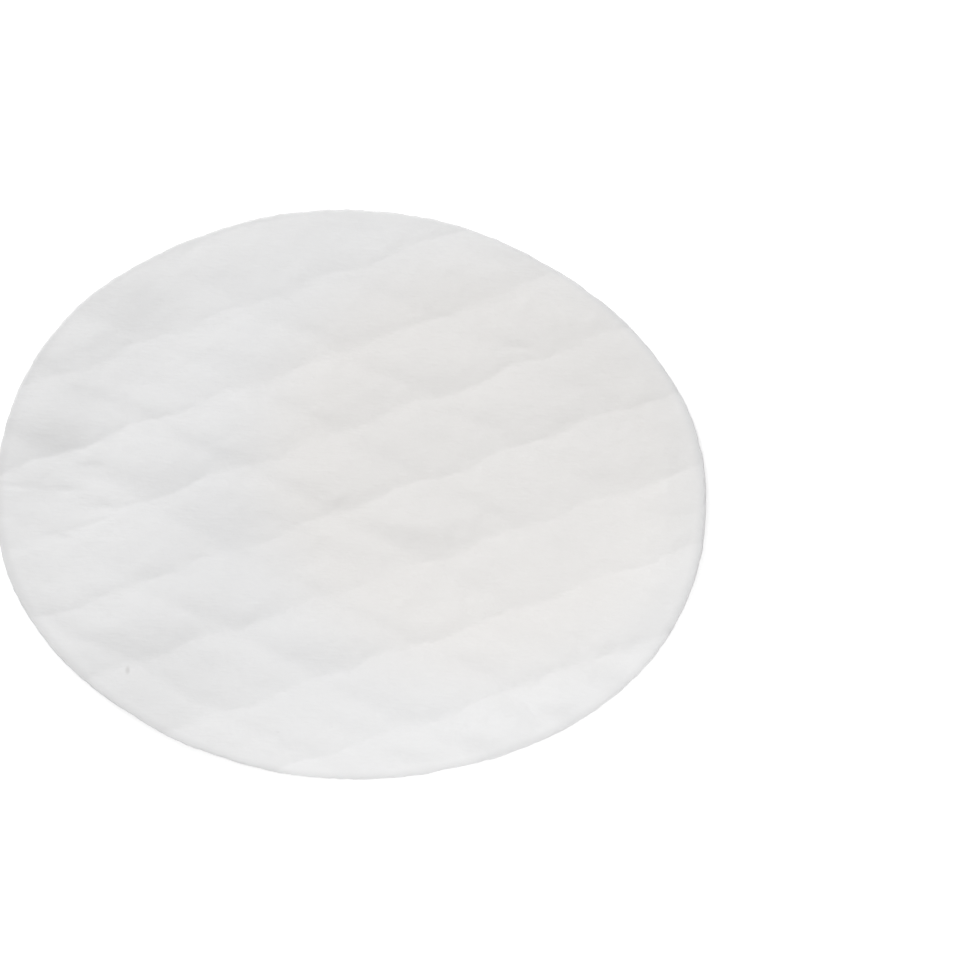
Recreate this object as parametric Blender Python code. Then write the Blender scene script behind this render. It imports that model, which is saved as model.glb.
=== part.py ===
"""A large oval cotton pad: one piece of pressed cotton fleece with a quilted upper face.

Units are metres and +Z is up. The origin lies under the middle of the pad, on the surface it rests on,
and the pad's length runs along X. The upper face is a height over the ground plan: soft puffs between
two families of straight pressed grooves, which cross in a pattern of rhombs. The rim is rounded. The
underside is flat.
"""

import math

import bmesh
import bpy
from mathutils import Vector
from mathutils.geometry import delaunay_2d_cdt

# Ground plan
LENGTH = 0.0945
WIDTH = 0.0758
WAVE_3 = 0.0052             # height of the outline's threefold wave, as a share of the radius
WAVE_3_AT = math.radians(-82)
WAVE_6 = 0.0046             # height of its sixfold wave
WAVE_6_AT = math.radians(149)

# Thickness
LOFT = 0.0031               # at the crown of a puff
GROOVE_THICKNESS = 0.00266  # under a groove, midway between two crossings
CROSSING_THICKNESS = 0.00235    # under a crossing of two grooves
EDGE_THICKNESS = 0.0025     # what the loft comes down to at the rim
EDGE_BAND = 0.0060          # width over which it comes down

# Rim
TOP_ROUND = 0.0005          # how far in from the outline the upper face starts
BOTTOM_ROUND = 0.0005       # radius of the lower edge

# Quilting
GROOVE_SPACING = 0.00993    # between neighbouring grooves of one family
GROOVE_ROUND = 0.00045      # softness of a groove's bottom
PUFF_FLATNESS = 2.3         # 2 is a round section, and more is flatter on top and steeper at the grooves
GROOVE_ANGLE = math.radians(23.4)   # of each family to the quilt's own axis
QUILT_TURN = math.radians(-0.4)     # of that axis to the pad's length
QUILT_X = -0.0027           # a crossing of two grooves
QUILT_Y = -0.0029

# Fineness of the mesh
OUTLINE_POINTS = 156
TOP_ROUND_STEPS = 4
BOTTOM_ROUND_STEPS = 3
PUFF_STEPS = 8              # mesh steps from one groove to the next
GROOVE_CROWDING = 0.45      # 0 spaces the steps evenly, and more draws them to the grooves
RIM_CLEARANCE = 0.0005      # kept free between the quilt's points and the rim's

COTTON_COLOUR = (0.79, 0.784, 0.778, 1.0)
COTTON_ROUGHNESS = 0.95

DIRECTION_A = QUILT_TURN + GROOVE_ANGLE
DIRECTION_B = QUILT_TURN - GROOVE_ANGLE


def clear_scene():
    for obj in list(bpy.data.objects):
        bpy.data.objects.remove(obj, do_unlink=True)


def waviness(turn):
    """The outline's radius at this turn, as a share of the plain oval's."""
    threefold = WAVE_3 * math.cos(3 * turn - WAVE_3_AT)
    sixfold = WAVE_6 * math.cos(6 * turn - WAVE_6_AT)
    return 1 + threefold + sixfold


def outline():
    """Points round the pad at its widest, counter-clockwise, filling its length and width exactly."""
    turns = [2 * math.pi * i / OUTLINE_POINTS for i in range(OUTLINE_POINTS)]
    xs = [waviness(turn) * math.cos(turn) for turn in turns]
    ys = [waviness(turn) * math.sin(turn) for turn in turns]
    stretch_x = LENGTH / (max(xs) - min(xs))
    stretch_y = WIDTH / (max(ys) - min(ys))
    middle_x = (max(xs) + min(xs)) / 2
    middle_y = (max(ys) + min(ys)) / 2
    return [Vector(((x - middle_x) * stretch_x, (y - middle_y) * stretch_y)) for x, y in zip(xs, ys)]


def inset(points, distance):
    """The closed outline moved inwards by a distance, point by point."""
    moved = []
    for i, point in enumerate(points):
        along = points[(i + 1) % len(points)] - points[i - 1]
        inwards = Vector((-along.y, along.x)).normalized()
        moved.append(point + distance * inwards)
    return moved


def across(point, direction):
    """Distance of a point from the crossing that the quilt starts at, across grooves of this direction."""
    x = point.x - QUILT_X
    y = point.y - QUILT_Y
    return y * math.cos(direction) - x * math.sin(direction)


def crossing(across_a, across_b):
    """The point that lies these distances across the two families of grooves."""
    spread = math.sin(DIRECTION_B - DIRECTION_A)
    x = (across_a * math.cos(DIRECTION_B) - across_b * math.cos(DIRECTION_A)) / spread
    y = (across_a * math.sin(DIRECTION_B) - across_b * math.sin(DIRECTION_A)) / spread
    return Vector((QUILT_X + x, QUILT_Y + y))


def off_groove(distance):
    """Distance from a groove's line, with the sharp bottom of the groove rounded off."""
    return math.hypot(distance, GROOVE_ROUND) - GROOVE_ROUND


def puff(distance):
    """A puff's section across one family of grooves: 0 in the groove and 1 at the crown."""
    half = GROOVE_SPACING / 2
    from_groove = abs((distance + half) % GROOVE_SPACING - half)
    return 1 - (1 - off_groove(from_groove) / off_groove(half)) ** PUFF_FLATNESS


def edge_distance(point):
    """Distance to the plain oval of the pad's length and width, along the line from the pad's middle."""
    level = math.hypot(point.x / (LENGTH / 2), point.y / (WIDTH / 2))
    if level == 0:
        return WIDTH / 2
    return point.length * (1 - level) / level


def top_height(point):
    """Height of the quilted face over a point of the ground plan."""
    puff_a = puff(across(point, DIRECTION_A))
    puff_b = puff(across(point, DIRECTION_B))
    in_groove = CROSSING_THICKNESS + (GROOVE_THICKNESS - CROSSING_THICKNESS) * puff_b
    on_crown = GROOVE_THICKNESS + (LOFT - GROOVE_THICKNESS) * puff_b
    thickness = in_groove + (on_crown - in_groove) * puff_a
    inwards = min(max(edge_distance(point) / EDGE_BAND, 0), 1)
    rise = inwards * inwards * (3 - 2 * inwards)
    pressed = (EDGE_THICKNESS + (LOFT - EDGE_THICKNESS) * rise) / LOFT
    return thickness * pressed


def groove_steps():
    """Distances across the grooves for the mesh lines, close together at each groove."""
    reach = math.ceil(LENGTH / GROOVE_SPACING)
    steps = []
    for i in range(-reach * PUFF_STEPS, reach * PUFF_STEPS + 1):
        share = i / PUFF_STEPS
        drawn = share - GROOVE_CROWDING * math.sin(2 * math.pi * share) / (2 * math.pi)
        steps.append(drawn * GROOVE_SPACING)
    return steps


def is_inside(point, ring):
    """Whether a point lies inside a closed ring."""
    inside = False
    for i, end in enumerate(ring):
        start = ring[i - 1]
        if (start.y > point.y) != (end.y > point.y):
            share = (point.y - start.y) / (end.y - start.y)
            if point.x < start.x + share * (end.x - start.x):
                inside = not inside
    return inside


def quilt_points(rim):
    """The quilt's mesh points, along its grooves, that lie clear of the rim."""
    limit = inset(rim, RIM_CLEARANCE)
    steps = groove_steps()
    reach = math.hypot(LENGTH, WIDTH) / 2
    found = []
    for across_a in steps:
        for across_b in steps:
            point = crossing(across_a, across_b)
            if point.length < reach and is_inside(point, limit):
                found.append(point)
    return found


def add_ring(mesh, points, heights):
    return [mesh.verts.new((point.x, point.y, height)) for point, height in zip(points, heights)]


def join_rings(mesh, lower, upper):
    """Faces between two rings of equal count, facing out where the rings run counter-clockwise."""
    for i in range(len(lower)):
        mesh.faces.new((lower[i - 1], lower[i], upper[i], upper[i - 1]))


def bottom_rings(mesh, widest_points):
    """The flat underside and the rounded lower edge. It returns the ring at the pad's widest."""
    last = None
    for step in range(BOTTOM_ROUND_STEPS + 1):
        turn = math.pi / 2 * step / BOTTOM_ROUND_STEPS
        points = inset(widest_points, BOTTOM_ROUND * (1 - math.sin(turn)))
        height = BOTTOM_ROUND * (1 - math.cos(turn))
        ring = add_ring(mesh, points, [height] * len(points))
        if last is None:
            mesh.faces.new(reversed(ring))
        else:
            join_rings(mesh, last, ring)
        last = ring
    return last


def top_rings(mesh, widest_points, widest_ring):
    """The rounded upper edge. It returns its innermost ring, which the quilted face starts from."""
    last = widest_ring
    for step in range(1, TOP_ROUND_STEPS + 1):
        turn = math.pi / 2 * step / TOP_ROUND_STEPS
        points = inset(widest_points, TOP_ROUND * (1 - math.cos(turn)))
        rise = math.sin(turn)
        heights = [BOTTOM_ROUND + (top_height(point) - BOTTOM_ROUND) * rise for point in points]
        ring = add_ring(mesh, points, heights)
        join_rings(mesh, last, ring)
        last = ring
    return last


def fill_quilt(mesh, ring):
    """The quilted face inside the rim, with its mesh lines along the grooves."""
    rim = [Vector(vert.co.xy) for vert in ring]
    points = rim + quilt_points(rim)
    border = list(range(len(rim)))
    plan, _, triangles, sources, _, _ = delaunay_2d_cdt(points, [], [border], 1, 1e-7)
    verts = []
    for point, source in zip(plan, sources):
        if source and source[0] < len(rim):
            verts.append(ring[source[0]])
        else:
            verts.append(mesh.verts.new((point.x, point.y, top_height(point))))
    for triangle in triangles:
        mesh.faces.new([verts[i] for i in triangle])


def cotton_material():
    material = bpy.data.materials.new("cotton")
    material.use_nodes = True
    shader = material.node_tree.nodes["Principled BSDF"]
    shader.inputs["Base Color"].default_value = COTTON_COLOUR
    shader.inputs["Roughness"].default_value = COTTON_ROUGHNESS
    shader.inputs["Metallic"].default_value = 0.0
    return material


def build_pad():
    mesh = bmesh.new()
    widest_points = outline()
    widest_ring = bottom_rings(mesh, widest_points)
    innermost_ring = top_rings(mesh, widest_points, widest_ring)
    fill_quilt(mesh, innermost_ring)
    bmesh.ops.recalc_face_normals(mesh, faces=mesh.faces)
    data = bpy.data.meshes.new("cotton_pad")
    mesh.to_mesh(data)
    mesh.free()
    data.shade_smooth()
    data.materials.append(cotton_material())
    pad = bpy.data.objects.new("cotton_pad", data)
    bpy.context.scene.collection.objects.link(pad)
    return pad


clear_scene()
build_pad()
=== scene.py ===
"""Looks of a large oval cotton pad that lies on a white floor, seen from straight above.

Metres, +Z up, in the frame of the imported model: the pad's length runs along X and it rests on z = 0.
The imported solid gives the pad's size. One mesh stands for it, with the same quilting in finer detail.
"""

import math

import bpy
import numpy as np
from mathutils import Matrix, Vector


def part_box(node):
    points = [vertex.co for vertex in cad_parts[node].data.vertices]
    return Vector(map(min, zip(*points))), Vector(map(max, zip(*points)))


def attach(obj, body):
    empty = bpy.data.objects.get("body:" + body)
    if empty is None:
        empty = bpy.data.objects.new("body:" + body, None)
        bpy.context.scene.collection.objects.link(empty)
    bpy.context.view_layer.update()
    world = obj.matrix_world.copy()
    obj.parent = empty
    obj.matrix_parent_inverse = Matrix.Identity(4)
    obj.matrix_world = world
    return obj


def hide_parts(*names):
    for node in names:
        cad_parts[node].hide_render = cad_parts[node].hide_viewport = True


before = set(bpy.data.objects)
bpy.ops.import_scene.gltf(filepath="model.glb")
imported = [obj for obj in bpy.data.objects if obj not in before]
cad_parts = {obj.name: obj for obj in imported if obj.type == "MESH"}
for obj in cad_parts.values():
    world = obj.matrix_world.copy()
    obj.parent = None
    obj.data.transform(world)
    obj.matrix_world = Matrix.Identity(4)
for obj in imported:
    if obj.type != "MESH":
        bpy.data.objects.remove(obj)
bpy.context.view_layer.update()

PAD_LOW, PAD_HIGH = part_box("cotton_pad")
LENGTH = PAD_HIGH[0] - PAD_LOW[0]
WIDTH = PAD_HIGH[1] - PAD_LOW[1]

# Ground plan, as in the solid: an oval with waves round it, each with its count, its height as a share
# of the radius, and its phase
OUTLINE_WAVES = ((3, 0.0052, math.radians(-82)), (6, 0.0046, math.radians(149)))
OUTLINE_SAMPLES = 721       # points that the oval's reach is measured over
DIRECTION_STEP = 0.01       # turn over which the direction of the outline is measured

# Random waves have a width, a height and a seed each. These nibble the edge
RIM_NIBBLES = ((0.0009, 0.00006, 50), (0.0030, 0.00008, 51), (0.0110, 0.00012, 52))
RANDOM_CELLS = 256          # how many of its widths a random wave goes on for before it repeats

# Thickness and rim
LOFT = 0.0031               # at the crown of a puff
GROOVE_THICKNESS = 0.00266  # under a groove, midway between two crossings
CROSSING_THICKNESS = 0.00235
EDGE_THICKNESS = 0.0025     # what the loft comes down to at the rim
EDGE_BAND = 0.0060          # width over which it comes down
NEAR_MIDDLE = 0.001         # least share of the way to the rim that edge_distance reckons with
TOP_ROUND = 0.00018
BOTTOM_ROUND = 0.0005
ROLL_OFF = 0.00006          # how much lower the face lies at the rim than a little further in
ROLL_WIDTH = 0.0014
LAYER_DEPTH = 0.00004       # how unevenly the layers of the cut edge stand back
LAYER_WIDTHS = (0.0011, 0.0042)
LAYER_SEED = 60

# Quilting: two families of grooves, A and B
GROOVE_SPACING = 0.00993
GROOVE_ROUND_A = 0.00058    # softness of a groove's bottom
GROOVE_ROUND_B = 0.00115
PUFF_FLATNESS_A = 2.45      # 2 is a round section, and more is flatter on top and steeper at the grooves
PUFF_FLATNESS_B = 2.9
QUILT_TURN = math.radians(-0.4)
GROOVE_ANGLE = math.radians(23.4)
QUILT_X = -0.0027           # a crossing of two grooves
QUILT_Y = -0.0029
DIRECTION_A = QUILT_TURN + GROOVE_ANGLE
DIRECTION_B = QUILT_TURN - GROOVE_ANGLE
QUILT_FAN = 0.055           # how far the grooves fan out of parallel at the ends, in spacings
BOW_A = 0.00026             # how far a groove bows out round each puff, and where along it
BOW_A_AT = 0.8
BOW_B = 0.00020
BOW_B_AT = 0.25

# Random waves that the grooves wander by, with seeds that were picked to suit the photograph
DRIFTS_A = ((0.0100, 0.00030, 30), (0.0045, 0.00028, 39), (0.0020, 0.00025, 7), (0.0010, 0.00017, 14))
DRIFTS_B = ((0.0090, 0.00050, 19), (0.0040, 0.00025, 27), (0.0016, 0.00016, 17))

# A sharp line in the bottom of the A grooves
CREASE_DEPTH = 0.00010
CREASE_WIDTH = 0.00040
CREASE_SHARE = 0.4          # its depth on the whole, and the waves that it varies by
CREASE_WAVES = ((0.0050, 0.5, 18), (0.0014, 0.6, 19))

# How full single puffs are, where 1 is ordinary, by row and column from the crossing named above.
# Set by comparing renders with the photograph
PUFFS = {
    (3, 1): 0.15, (3, 2): 0.25, (3, 3): 0.1,
    (2, -1): 1.55, (2, 0): 0.15, (2, 2): 0.75, (2, 3): 0.6,
    (1, -2): 0.2, (1, -1): 1.35, (1, 0): 0.75, (1, 2): 1.15, (1, 3): 0.65,
    (0, -3): 0.3, (0, -2): 0.55, (0, 0): 1.25, (0, 1): 0.75, (0, 2): 1.15, (0, 3): 0.35,
    (-1, -3): 1.35, (-1, -2): 1.1, (-1, -1): 0.15, (-1, 0): 1.95, (-1, 1): 0.75, (-1, 2): 1.2,
    (-2, -3): 0.75, (-2, -2): 1.5, (-2, -1): 0.65, (-2, 0): 0.8, (-2, 1): 0.45,
    (-3, -3): 0.5, (-3, -1): 1.6, (-3, 0): 0.9,
    (-4, -3): 0.1, (-4, -2): 1.9, (-4, -1): 2.0,
}
UNEVEN_PUFFS = 0.15         # how much the others differ from 1
PUFF_SEED = 5
PUFF_REACH = 16             # rows and columns to either side of that crossing
FULLER_ROWS = 0.15          # how much fuller each row is than the last, from the second below the middle
PUFF_BLEND = 0.5            # share of the spacing over which neighbouring puffs blend

# Small dents and folds in the face: place, length along the pad, width, and depth or height below 0
DENTS = (
    (0.0209, 0.0209, 0.0030, 0.0008, 0.00026),
    (-0.0342, 0.0018, 0.0038, 0.0013, 0.00018),
    (-0.0378, -0.0016, 0.0034, 0.0011, 0.00017),
    (-0.0444, -0.0015, 0.0054, 0.0008, 0.00012),
    (-0.0325, -0.0036, 0.0036, 0.0015, 0.00016),
    (-0.0380, -0.0080, 0.0028, 0.0009, 0.00013),
    (0.0308, 0.0252, 0.0016, 0.0014, -0.00010),
    (-0.0278, 0.0213, 0.0060, 0.0040, 0.00014),
    (-0.0258, -0.0317, 0.0090, 0.0060, 0.00022),
    (0.0195, -0.0215, 0.0022, 0.0022, 0.00020),
    (0.0195, -0.0215, 0.0014, 0.0014, -0.00020),
)

# A broad shallow hollow along the rim at the left
HOLLOW_X = -0.0306
HOLLOW_Y = 0.0148
HOLLOW_TURN = math.radians(57)
HOLLOW_LENGTH = 0.040
HOLLOW_WIDTH = 0.0146
HOLLOW_DEPTH = 0.00045

# Random waves of the face: lumps of the fleece, with seeds picked in the same way
LUMPS = ((0.0110, 0.000070, 56), (0.0042, 0.000072, 5), (0.0018, 0.000050, 30), (0.0009, 0.000021, 33))

# Underside
UNDER_WAVES = 0.00010       # height of its faint waves
UNDER_WAVE_WIDTH = 0.012
UNDER_SEED = 40
UNDER_INSET = 2 * BOTTOM_ROUND      # how far inside the edge its own grid of points starts

# Fineness of the mesh
TOP_CELLS = 264             # mesh cells across the quilted face
UNDER_CELLS = TOP_CELLS // 2
TOP_ROUND_STEPS = 5
BOTTOM_ROUND_STEPS = 3

# Cotton colours. Fades are the values at which a colour starts and ends
COTTON = (0.780, 0.780, 0.783, 1)
RIM_PAINTED_LIGHT = (0.797, 0.797, 0.799, 1)   # painted light towards the rim, where the fleece is thinner and light comes through it
RIM_LIGHT_FADE = (0.3, 1.0)       # shares of the way from the middle to the rim
CREAM_COTTON = (0.795, 0.784, 0.773, 1)     # a little creamier in one large area
CREAM_AREA = (0.0170, 0.0050, 0.061, 0.058)     # its place, length and width
CREAM_FADE = (1.2, 0.7)     # distances from its place, where 1 is the area's own border

# Painted shade and painted light in broad patches, for slopes of the face that the light falls on or
# misses, partly the fleece's own tone: place, length, width and change
PATCH_FADE = (1.4, 0)
PAINTED_SHADE_AND_LIGHT_PATCHES = (
    (-0.0411, 0.0062, 0.016, 0.020, -0.045),
    (-0.0315, 0.0234, 0.018, 0.014, -0.045),
    (-0.0325, -0.0046, 0.024, 0.020, 0.035),
    (-0.0190, 0.0148, 0.032, 0.020, 0.030),
    (-0.0234, -0.0227, 0.019, 0.013, -0.035),
    (-0.0047, -0.0345, 0.028, 0.012, 0.020),
    (0.0335, 0.0159, 0.024, 0.018, -0.022),
    (0.0415, -0.0068, 0.020, 0.024, 0.022),
    (0.0063, 0.0030, 0.040, 0.024, -0.012),
)

EDGE_PAINTED_SHADE = (0.736, 0.736, 0.739, 1)  # painted shade in a narrow band along the rim, where the face rolls down to the edge
EDGE_SHADE_FADE = (0.970, 1.0)    # shares of the way from the middle to the rim
CUT_PAINTED_LIGHT = (0.796, 0.796, 0.798, 1)   # painted light on the cut edge, for light that comes through the fleece at its sides
CUT_LIGHT_FADE = (0.1, 0.6)       # steepnesses of the skin: 0 is level and 1 is upright

# Dark specks: place, length, width and strength
SPECK_COLOUR = (0.30, 0.28, 0.26, 1)
SPECK_FADE = (1.5, 0.2)
SPECKS = (
    (-0.0282, -0.0250, 0.00060, 0.00105, 0.24),
    (-0.0078, -0.0320, 0.00060, 0.00025, 0.08),
)

# Cotton surface
ROUGHNESS = 1.0
SPECULAR = 0.1
SOFTNESS = 0.5              # share of the light that spreads under the skin
SPREAD = 0.0005             # how far it spreads
FIBRE_CELLS = (700, 2600, 2600)     # noise cells per metre: the fibres lie along the pad's length
FELT_CELLS = (1100, 1100, 1100)
LAYER_CELLS = (900, 900, 5200)      # thin layers on the cut edge
LAYER_RELIEF = 3.0          # how deep they are, against the fibres of the faces
FLEECE_DEPTH = 0.000035     # relief of the fibres
NOISE_DETAIL = 1.0

# Camera, from the photograph's frame
FRAME_PIXELS = 980
PIXELS_PER_METRE = 7530
PAD_CENTRE_PIXEL = (351.2, 494.7)
PAD_TURN = math.radians(3.42)       # the pad's length points this far below the picture's horizontal
CAMERA_HEIGHT = 0.9
SENSOR_WIDTH = 36.0

# Light: directions are seen in the picture, counter-clockwise from its right side
KEY_FROM = math.radians(119)
KEY_ELEVATION = math.radians(42)
KEY_DISTANCE = 1.8
KEY_SIZE = 0.9
KEY_POWER = 15.0
OVERHEAD_HEIGHT = 1.1
OVERHEAD_SIZE = 0.9
OVERHEAD_POWER = 1.3
FILL_FROM = math.radians(-65)
FILL_REACH = 0.105
FILL_HEIGHT = 0.055
FILL_SIZE = 0.06
FILL_POWER = 0.025
WORLD_STRENGTH = 0.541
WHITE = (1, 1, 1, 1)

# Floor
FLOOR_HALF = 3.0
FLOOR_GAP = 0.00002         # between the floor and the pad
FLOOR_COLOUR = (0.85, 0.85, 0.85, 1)
FLOOR_GLOW = 0.38           # seen by the camera alone or in mirrors, so that the floor shows white

# Sockets of a colour mix, by number, because the node has several of each name
MIX_SHARE = 0
MIX_FIRST = 6
MIX_SECOND = 7
MIX_RESULT = 2


def smooth(share):
    """0 to 1 with level ends."""
    share = np.clip(share, 0, 1)
    return share * share * (3 - 2 * share)


def lumps(x, y, size, seed):
    """A smooth random field from -1 to 1 over the ground plan, with lumps about as wide as size."""
    cells = RANDOM_CELLS
    values = np.random.default_rng(seed).uniform(-1, 1, (cells, cells))
    u = x / size + cells / 2
    v = y / size + cells / 2
    i = np.floor(u).astype(int)
    j = np.floor(v).astype(int)
    fu = smooth(u - i)
    fv = smooth(v - j)
    i0, i1, j0, j1 = i % cells, (i + 1) % cells, j % cells, (j + 1) % cells
    near = values[i0, j0] * (1 - fu) + values[i1, j0] * fu
    far = values[i0, j1] * (1 - fu) + values[i1, j1] * fu
    return near * (1 - fv) + far * fv


def wander(x, y, waves):
    """The sum of several random fields: each of the waves has a width, a height and a seed."""
    total = np.zeros_like(x)
    for width, height, seed in waves:
        total = total + height * lumps(x, y, width, seed)
    return total


def plain_outline(turn):
    """The wavy oval before it is stretched to the pad's length and width."""
    radius = 1
    for count, height, at in OUTLINE_WAVES:
        radius = radius + height * np.cos(count * turn - at)
    return radius * np.cos(turn), radius * np.sin(turn)


def outline(turn):
    """The pad's edge at this turn, filling the solid's length and width."""
    xs, ys = plain_outline(np.linspace(0, 2 * math.pi, OUTLINE_SAMPLES))
    x, y = plain_outline(turn)
    x = (x - (xs.max() + xs.min()) / 2) * LENGTH / (xs.max() - xs.min())
    y = (y - (ys.max() + ys.min()) / 2) * WIDTH / (ys.max() - ys.min())
    return x, y


def rim(turn, inwards):
    """The edge moved in by a distance, and nibbled."""
    x, y = outline(turn)
    inwards = inwards + wander(x, y, RIM_NIBBLES)
    x0, y0 = outline(turn - DIRECTION_STEP)
    x1, y1 = outline(turn + DIRECTION_STEP)
    along = np.hypot(x1 - x0, y1 - y0)
    return x - (y1 - y0) / along * inwards, y + (x1 - x0) / along * inwards


def layer(turn, number):
    """How far one layer of the cut edge stands back, unlike the next one's."""
    x, y = outline(turn)
    return LAYER_DEPTH * sum(lumps(x, y, width, LAYER_SEED + number) for width in LAYER_WIDTHS)


def from_groove(across):
    """Distance from the nearest groove of a family, below 0 on one side of it."""
    half = GROOVE_SPACING / 2
    return (across + half) % GROOVE_SPACING - half


def puff(across, softness, flatness):
    """A puff's section across one family of grooves: 0 in the groove and 1 at the crown."""
    crown = math.hypot(GROOVE_SPACING / 2, softness) - softness
    risen = (np.hypot(from_groove(across), softness) - softness) / crown
    return 1 - (1 - risen) ** flatness


def fullness(u, v):
    """How full the puffs are at places given in spacings across the two families: 1 on the whole."""
    count = 2 * PUFF_REACH
    table = 1 + UNEVEN_PUFFS * np.random.default_rng(PUFF_SEED).uniform(-1, 1, (count, count))
    for (row, column), strength in PUFFS.items():
        table[row + PUFF_REACH, column + PUFF_REACH] = strength
    rows_down = np.maximum(-1 - np.arange(-PUFF_REACH, PUFF_REACH), 0)
    table = table * (1 + FULLER_ROWS * rows_down[:, None])

    def neighbours(place):
        """The puffs at and next to a place, each with its share there."""
        cell = np.floor(place)
        before = (1 - smooth((place - cell) / PUFF_BLEND)) / 2
        after = (1 - smooth((cell + 1 - place) / PUFF_BLEND)) / 2
        cell = cell.astype(int) + PUFF_REACH
        return (cell - 1, before), (cell, 1 - before - after), (cell + 1, after)

    return sum(table[i, j] * a * b for i, a in neighbours(u) for j, b in neighbours(v))


def edge_distance(x, y):
    """Distance to the edge of a plain oval, along the line from the pad's middle."""
    level = np.maximum(np.hypot(x / (LENGTH / 2), y / (WIDTH / 2)), NEAR_MIDDLE)
    return np.maximum(np.hypot(x, y), NEAR_MIDDLE * WIDTH / 2) * (1 - level) / level


def distance_across(x, y, direction, drifts):
    """Distance across one family of grooves, which fan out a little and wander."""
    straight = (y - QUILT_Y) * math.cos(direction) - (x - QUILT_X) * math.sin(direction)
    fan = QUILT_FAN * GROOVE_SPACING * (x / (LENGTH / 2)) * (y / (WIDTH / 2))
    return straight - fan + wander(x, y, drifts)


def bow(across, size, at):
    """How far a groove bows out where it passes the puffs of the other family."""
    return size * np.cos(2 * math.pi * (across / GROOVE_SPACING - at))


def crease(x, y, across_a):
    """Depth of the sharp line in the A grooves, deeper in some places than in others."""
    uneven = np.maximum(CREASE_SHARE + wander(x, y, CREASE_WAVES), 0)
    return CREASE_DEPTH * uneven * np.exp(-((from_groove(across_a) / CREASE_WIDTH) ** 2))


def dip(x, y, length, width):
    """1 in the middle of an oval, fading to 0 round it."""
    distance = np.hypot(x / (length / 2), y / (width / 2))
    return np.exp(-distance * distance)


def dents(x, y):
    """Depth of the small dents and folds."""
    depth = np.zeros_like(x)
    for dent_x, dent_y, length, width, deep in DENTS:
        depth = depth + deep * dip(x - dent_x, y - dent_y, length, width)
    return depth


def hollow(x, y):
    """Depth of the broad hollow along the rim."""
    x, y = x - HOLLOW_X, y - HOLLOW_Y
    along = x * math.cos(HOLLOW_TURN) + y * math.sin(HOLLOW_TURN)
    aside = y * math.cos(HOLLOW_TURN) - x * math.sin(HOLLOW_TURN)
    return HOLLOW_DEPTH * dip(along, aside, HOLLOW_LENGTH, HOLLOW_WIDTH)


def top_height(x, y):
    """Height of the quilted face over the ground plan."""
    straight_a = distance_across(x, y, DIRECTION_A, DRIFTS_A)
    straight_b = distance_across(x, y, DIRECTION_B, DRIFTS_B)
    across_a = straight_a - bow(straight_b, BOW_A, BOW_A_AT)
    across_b = straight_b - bow(straight_a, BOW_B, BOW_B_AT)
    full = fullness(across_a / GROOVE_SPACING, across_b / GROOVE_SPACING)
    puff_a = puff(across_a, GROOVE_ROUND_A, PUFF_FLATNESS_A)
    puff_b = puff(across_b, GROOVE_ROUND_B, PUFF_FLATNESS_B)
    in_groove = (GROOVE_THICKNESS - CROSSING_THICKNESS) * puff_b
    on_crown = GROOVE_THICKNESS - CROSSING_THICKNESS + (LOFT - GROOVE_THICKNESS) * puff_b
    thickness = CROSSING_THICKNESS + full * (in_groove + (on_crown - in_groove) * puff_a)
    inwards = edge_distance(x, y)
    pressed = (EDGE_THICKNESS + (LOFT - EDGE_THICKNESS) * smooth(inwards / EDGE_BAND)) / LOFT
    rolled = ROLL_OFF * np.clip(1 - inwards / ROLL_WIDTH, 0, 1) ** 2
    height = thickness * pressed - rolled - crease(x, y, across_a) - dents(x, y) - hollow(x, y)
    for size, rise, seed in LUMPS:
        height = height + rise * lumps(x, y, size, seed) * smooth(inwards / size)
    return height


def under_height(x, y):
    """Faint waves of the smooth underside, which touches the floor all round."""
    waves = (1 + lumps(x, y, UNDER_WAVE_WIDTH, UNDER_SEED)) / 2
    return UNDER_WAVES * waves * smooth(edge_distance(x, y) / EDGE_BAND)


def disc(cells):
    """A square grid laid onto the unit disc: radius and turn of its points, its quads and its border."""
    side = np.linspace(-1, 1, cells + 1)
    a, b = np.meshgrid(side, side, indexing="ij")
    wide = np.abs(a) > np.abs(b)
    safe_a = np.where(a == 0, 1, a)
    safe_b = np.where(b == 0, 1, b)
    radius = np.where(wide, a, b)
    turn = np.where(wide, b / safe_a * math.pi / 4, math.pi / 2 - a / safe_b * math.pi / 4)
    turn = np.where(radius < 0, turn + math.pi, turn)
    radius = np.abs(radius)
    index = np.arange((cells + 1) ** 2).reshape(cells + 1, cells + 1)
    quads = np.stack([index[:-1, :-1], index[1:, :-1], index[1:, 1:], index[:-1, 1:]], -1).reshape(-1, 4)
    border = np.concatenate([index[-1, :-1], index[::-1, -1][:-1], index[0, ::-1][:-1], index[:-1, 0]])
    return radius.ravel(), turn.ravel(), quads, border


def face_grid(cells, inwards, height_at):
    """Points of one face, that far inside the edge, with its quads, its border and the border's turns."""
    radius, turn, quads, border = disc(cells)
    edge_x, edge_y = rim(turn, inwards)
    x, y = radius * edge_x, radius * edge_y
    return np.stack([x, y, height_at(x, y)], 1), quads, border, turn[border]


def edge_rings(turn):
    """Rings of points down the rounded and layered edge, from the quilted face to the floor."""
    for step in range(TOP_ROUND_STEPS - 1, -1, -1):
        lean = math.pi / 2 * step / TOP_ROUND_STEPS
        x, y = rim(turn, TOP_ROUND * (1 - math.cos(lean)) + layer(turn, step))
        top = top_height(x, y)
        yield np.stack([x, y, BOTTOM_ROUND + (top - BOTTOM_ROUND) * math.sin(lean)], 1)
    for step in range(1, BOTTOM_ROUND_STEPS + 1):
        lean = math.pi / 2 * step / BOTTOM_ROUND_STEPS
        x, y = rim(turn, BOTTOM_ROUND * (1 - math.cos(lean)))
        yield np.stack([x, y, np.full_like(x, BOTTOM_ROUND * (1 - math.sin(lean)))], 1)


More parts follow.
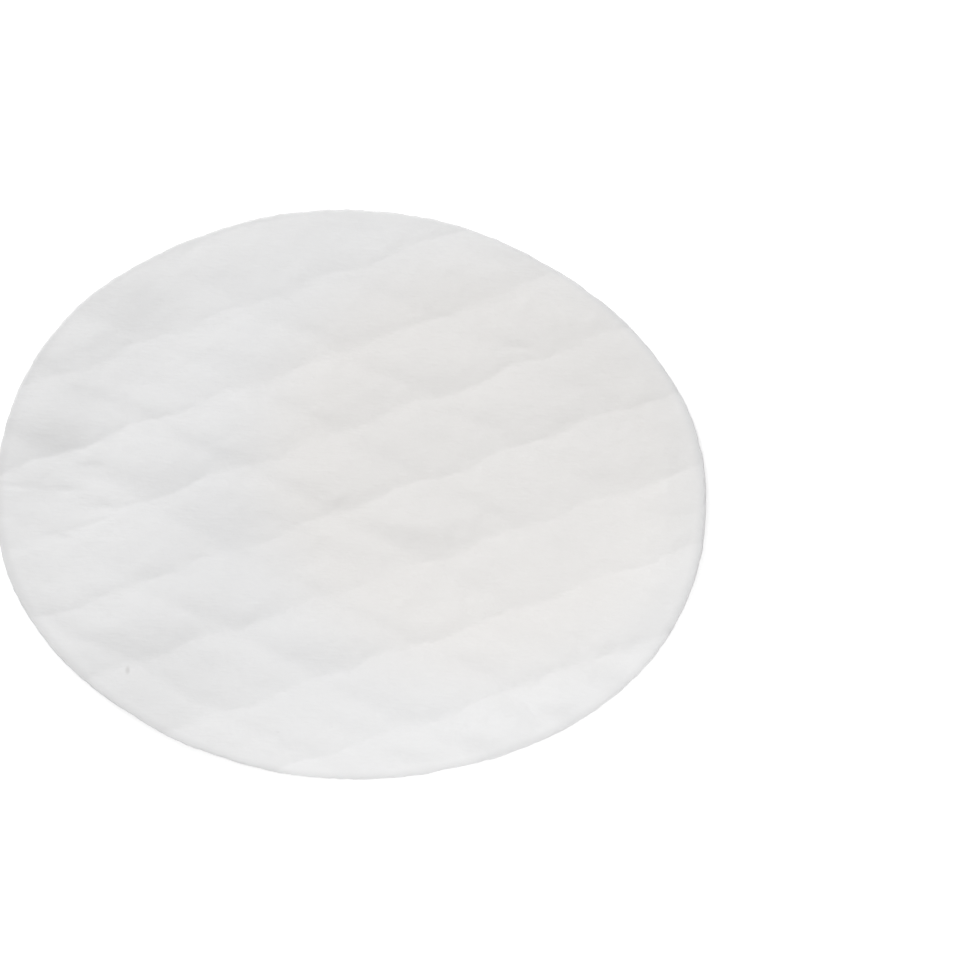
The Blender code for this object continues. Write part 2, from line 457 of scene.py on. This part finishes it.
def seam(outer, inner):
    """Triangles from the edge's last ring to the underside's border, which has half as many points."""
    triangles = []
    for i, here in enumerate(inner):
        following = inner[(i + 1) % len(inner)]
        first, middle, second = outer[2 * i], outer[2 * i + 1], outer[(2 * i + 2) % len(outer)]
        triangles.append([first, here, middle])
        triangles.append([middle, here, following])
        triangles.append([middle, following, second])
    return np.array(triangles).tolist()


def pad_mesh():
    """The whole pad as one closed skin: quilted face, rounded rim and underside."""
    top, quads, last, turn = face_grid(TOP_CELLS, TOP_ROUND, top_height)
    points = [top]
    faces = quads.tolist()
    count = len(top)
    for ring_points in edge_rings(turn):
        ring = count + np.arange(len(ring_points))
        points.append(ring_points)
        faces.extend(np.stack([last, ring, np.roll(ring, -1), np.roll(last, -1)], 1).tolist())
        count += len(ring_points)
        last = ring
    under, quads, border, _ = face_grid(UNDER_CELLS, UNDER_INSET, under_height)
    points.append(under)
    faces.extend((quads[:, ::-1] + count).tolist())
    faces.extend(seam(last, border + count))
    mesh = bpy.data.meshes.new("quilted_cotton")
    mesh.from_pydata(np.concatenate(points).tolist(), [], faces)
    mesh.validate()
    mesh.shade_smooth()
    return mesh


def add_node(tree, kind, inputs, **settings):
    """A new shader node. Its inputs, by name or number, are plain values or other nodes' outputs."""
    node = tree.nodes.new("ShaderNode" + kind)
    for name, value in settings.items():
        setattr(node, name, value)
    for key, value in inputs.items():
        if isinstance(value, bpy.types.NodeSocket):
            tree.links.new(value, node.inputs[key])
        else:
            node.inputs[key].default_value = value
    return node


def calculate(tree, operation, *values):
    """The result of a sum on numbers or other nodes' outputs."""
    return add_node(tree, "Math", dict(enumerate(values)), operation=operation).outputs[0]


def noise(tree, place, cells):
    """Noise with this many cells per metre along each axis."""
    scaled = add_node(tree, "Mapping", {"Vector": place, "Scale": cells})
    inputs = {"Vector": scaled.outputs[0], "Scale": 1.0, "Detail": NOISE_DETAIL}
    return add_node(tree, "TexNoise", inputs).outputs["Fac"]


def ramp(tree, value, low, high, end=1.0):
    """From 0 to the end value as the input goes from low to high."""
    inputs = {"Value": value, "From Min": low, "From Max": high, "To Max": end}
    return add_node(tree, "MapRange", inputs, interpolation_type="SMOOTHSTEP").outputs[0]


def blend(tree, first, second, share):
    """A mix of two colours."""
    inputs = {MIX_SHARE: share, MIX_FIRST: first, MIX_SECOND: second}
    return add_node(tree, "Mix", inputs, data_type="RGBA").outputs[MIX_RESULT]


def way_from(tree, place, x, y, length, width):
    """The way from x and y, in halves of this length and width."""
    centred = add_node(tree, "VectorMath", {0: place, 1: (x, y, 0)}, operation="SUBTRACT")
    inputs = {0: centred.outputs[0], 1: (2 / length, 2 / width, 0)}
    return add_node(tree, "VectorMath", inputs, operation="MULTIPLY").outputs[0]


def how_far(tree, way):
    """The length of a way."""
    return add_node(tree, "VectorMath", {0: way}, operation="LENGTH").outputs["Value"]


def away(tree, place, x, y, length, width):
    """Distance from x and y: 1 on an oval of this length and width round it."""
    return how_far(tree, way_from(tree, place, x, y, length, width))


def way_to_rim(tree, place):
    """Share of the way from the middle to the wavy outline."""
    way = way_from(tree, place, 0, 0, LENGTH, WIDTH)
    plan = add_node(tree, "SeparateXYZ", {0: way})
    turn = calculate(tree, "ARCTAN2", plan.outputs["Y"], plan.outputs["X"])
    radius = 1.0
    for count, height, at in OUTLINE_WAVES:
        turned = calculate(tree, "SUBTRACT", calculate(tree, "MULTIPLY", turn, count), at)
        wave = calculate(tree, "MULTIPLY", calculate(tree, "COSINE", turned), height)
        radius = calculate(tree, "ADD", wave, radius)
    return calculate(tree, "DIVIDE", how_far(tree, way), radius)


def cotton_colour(tree, place, steep):
    """White fleece with a creamy area, painted light towards the rim and on the cut edge, painted shade and
    light in broad patches, painted shade along the rim, and a few dark specks.
    """
    to_rim = way_to_rim(tree, place)
    # Painted light: the fleece is lighter towards the rim
    fleece = blend(tree, COTTON, RIM_PAINTED_LIGHT, ramp(tree, to_rim, *RIM_LIGHT_FADE))
    share = ramp(tree, away(tree, place, *CREAM_AREA), *CREAM_FADE)
    fleece = blend(tree, fleece, CREAM_COTTON, share)
    # Painted shade and painted light in broad patches
    painted_brightness = 1.0
    for *patch, change in PAINTED_SHADE_AND_LIGHT_PATCHES:
        share = ramp(tree, away(tree, place, *patch), *PATCH_FADE, change)
        painted_brightness = calculate(tree, "ADD", share, painted_brightness)
    patched = add_node(tree, "VectorMath", {0: fleece, "Scale": painted_brightness}, operation="SCALE")
    # Painted shade in a narrow band along the rim
    fleece = blend(tree, patched.outputs[0], EDGE_PAINTED_SHADE, ramp(tree, to_rim, *EDGE_SHADE_FADE))
    # Painted light on the cut edge, by its steepness
    fleece = blend(tree, fleece, CUT_PAINTED_LIGHT, ramp(tree, steep, *CUT_LIGHT_FADE))
    for *speck, strength in SPECKS:
        share = ramp(tree, away(tree, place, *speck), *SPECK_FADE, strength)
        fleece = blend(tree, fleece, SPECK_COLOUR, share)
    return fleece


def cotton_relief(tree, place, steep):
    """Fine fibres and felt on the faces, and thin layers on the cut edge."""
    grain = calculate(tree, "ADD", noise(tree, place, FIBRE_CELLS), noise(tree, place, FELT_CELLS))
    on_edge = calculate(tree, "MULTIPLY", steep, LAYER_RELIEF)
    layers = calculate(tree, "MULTIPLY", noise(tree, place, LAYER_CELLS), on_edge)
    height = calculate(tree, "ADD", grain, layers)
    return add_node(tree, "Bump", {"Distance": FLEECE_DEPTH, "Height": height}).outputs[0]


def cotton_material():
    material = bpy.data.materials.new("cotton_fleece")
    material.use_nodes = True
    tree = material.node_tree
    shader = tree.nodes["Principled BSDF"]
    shader.inputs["Base Color"].default_value = COTTON
    shader.inputs["Roughness"].default_value = ROUGHNESS
    shader.inputs["Subsurface Weight"].default_value = SOFTNESS
    shader.inputs["Subsurface Radius"].default_value = (1.0, 1.0, 1.0)
    shader.inputs["Subsurface Scale"].default_value = SPREAD
    shader.inputs["Specular IOR Level"].default_value = SPECULAR
    coordinates = add_node(tree, "TexCoord", {})
    place = coordinates.outputs["Object"]
    facing = add_node(tree, "SeparateXYZ", {0: coordinates.outputs["Normal"]})
    steep = calculate(tree, "SUBTRACT", 1.0, calculate(tree, "ABSOLUTE", facing.outputs["Z"]))
    tree.links.new(cotton_colour(tree, place, steep), shader.inputs["Base Color"])
    tree.links.new(cotton_relief(tree, place, steep), shader.inputs["Normal"])
    return material


def make_pad():
    pad = bpy.data.objects.new("quilted_cotton", pad_mesh())
    bpy.context.scene.collection.objects.link(pad)
    pad.data.materials.append(cotton_material())
    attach(pad, "root")
    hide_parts("cotton_pad")


def from_picture(right, up):
    """A place given along the picture's right and up, in the pad's frame."""
    return (
        right * math.cos(PAD_TURN) - up * math.sin(PAD_TURN),
        right * math.sin(PAD_TURN) + up * math.cos(PAD_TURN),
    )


def make_camera():
    """The camera looks straight down, and the pad lies left of the picture's middle."""
    middle = FRAME_PIXELS / 2
    right = (middle - PAD_CENTRE_PIXEL[0]) / PIXELS_PER_METRE
    up = (PAD_CENTRE_PIXEL[1] - middle) / PIXELS_PER_METRE
    data = bpy.data.cameras.new("camera")
    data.sensor_width = SENSOR_WIDTH
    data.lens = SENSOR_WIDTH * (CAMERA_HEIGHT - LOFT / 2) * PIXELS_PER_METRE / FRAME_PIXELS
    camera = bpy.data.objects.new("camera", data)
    x, y = from_picture(right, up)
    camera.location = (x, y, CAMERA_HEIGHT)
    camera.rotation_euler = (0, 0, PAD_TURN)
    bpy.context.scene.collection.objects.link(camera)
    bpy.context.scene.camera = camera


def make_light(name, reach, direction, height, size, power):
    """A round soft light, aimed at the pad from a direction in the picture."""
    data = bpy.data.lights.new(name, "AREA")
    data.shape = "DISK"
    data.size = size
    data.energy = power
    light = bpy.data.objects.new(name, data)
    x, y = from_picture(reach * math.cos(direction), reach * math.sin(direction))
    light.location = (x, y, height)
    light.rotation_euler = (-light.location).to_track_quat("-Z", "Y").to_euler()
    light.visible_camera = False
    bpy.context.scene.collection.objects.link(light)


def make_lights():
    key_reach = KEY_DISTANCE * math.cos(KEY_ELEVATION)
    key_height = KEY_DISTANCE * math.sin(KEY_ELEVATION)
    make_light("key", key_reach, KEY_FROM, key_height, KEY_SIZE, KEY_POWER)
    make_light("overhead", 0, 0, OVERHEAD_HEIGHT, OVERHEAD_SIZE, OVERHEAD_POWER)
    make_light("fill", FILL_REACH, FILL_FROM, FILL_HEIGHT, FILL_SIZE, FILL_POWER)


def seen_rays(tree):
    """1 for what the camera sees, straight on or by way of a surface that mirrors it or lets it through."""
    path = add_node(tree, "LightPath", {})
    seen = path.outputs["Is Camera Ray"]
    for ray in ("Is Glossy Ray", "Is Transmission Ray"):
        seen = calculate(tree, "MAXIMUM", seen, path.outputs[ray])
    return seen


def make_world():
    """Even light from all round, and white where the camera sees past the floor."""
    world = bpy.data.worlds.new("world")
    bpy.context.scene.world = world
    world.use_nodes = True
    tree = world.node_tree
    tree.nodes.clear()
    even = add_node(tree, "Background", {"Color": WHITE, "Strength": WORLD_STRENGTH})
    white = add_node(tree, "Background", {"Color": WHITE, "Strength": 1.0})
    inputs = {"Fac": seen_rays(tree), 1: even.outputs[0], 2: white.outputs[0]}
    mix = add_node(tree, "MixShader", inputs)
    add_node(tree, "OutputWorld", {"Surface": mix.outputs[0]})


def make_floor():
    """A white floor that keeps the pad's shadow."""
    mesh = bpy.data.meshes.new("floor")
    corners = [(x * FLOOR_HALF, y * FLOOR_HALF, 0) for x, y in ((-1, -1), (1, -1), (1, 1), (-1, 1))]
    mesh.from_pydata(corners, [], [(0, 1, 2, 3)])
    floor = bpy.data.objects.new("floor", mesh)
    floor.location.z = -FLOOR_GAP
    bpy.context.scene.collection.objects.link(floor)
    material = bpy.data.materials.new("white_floor")
    material.use_nodes = True
    tree = material.node_tree
    tree.nodes.clear()
    matte = add_node(tree, "BsdfDiffuse", {"Color": FLOOR_COLOUR})
    strength = calculate(tree, "MULTIPLY", seen_rays(tree), FLOOR_GLOW)
    glow = add_node(tree, "Emission", {"Strength": strength})
    both = add_node(tree, "AddShader", {0: matte.outputs[0], 1: glow.outputs[0]})
    add_node(tree, "OutputMaterial", {"Surface": both.outputs[0]})
    floor.data.materials.append(material)


make_pad()
make_floor()
make_lights()
make_world()
make_camera()
bpy.context.scene.view_settings.view_transform = "Standard"
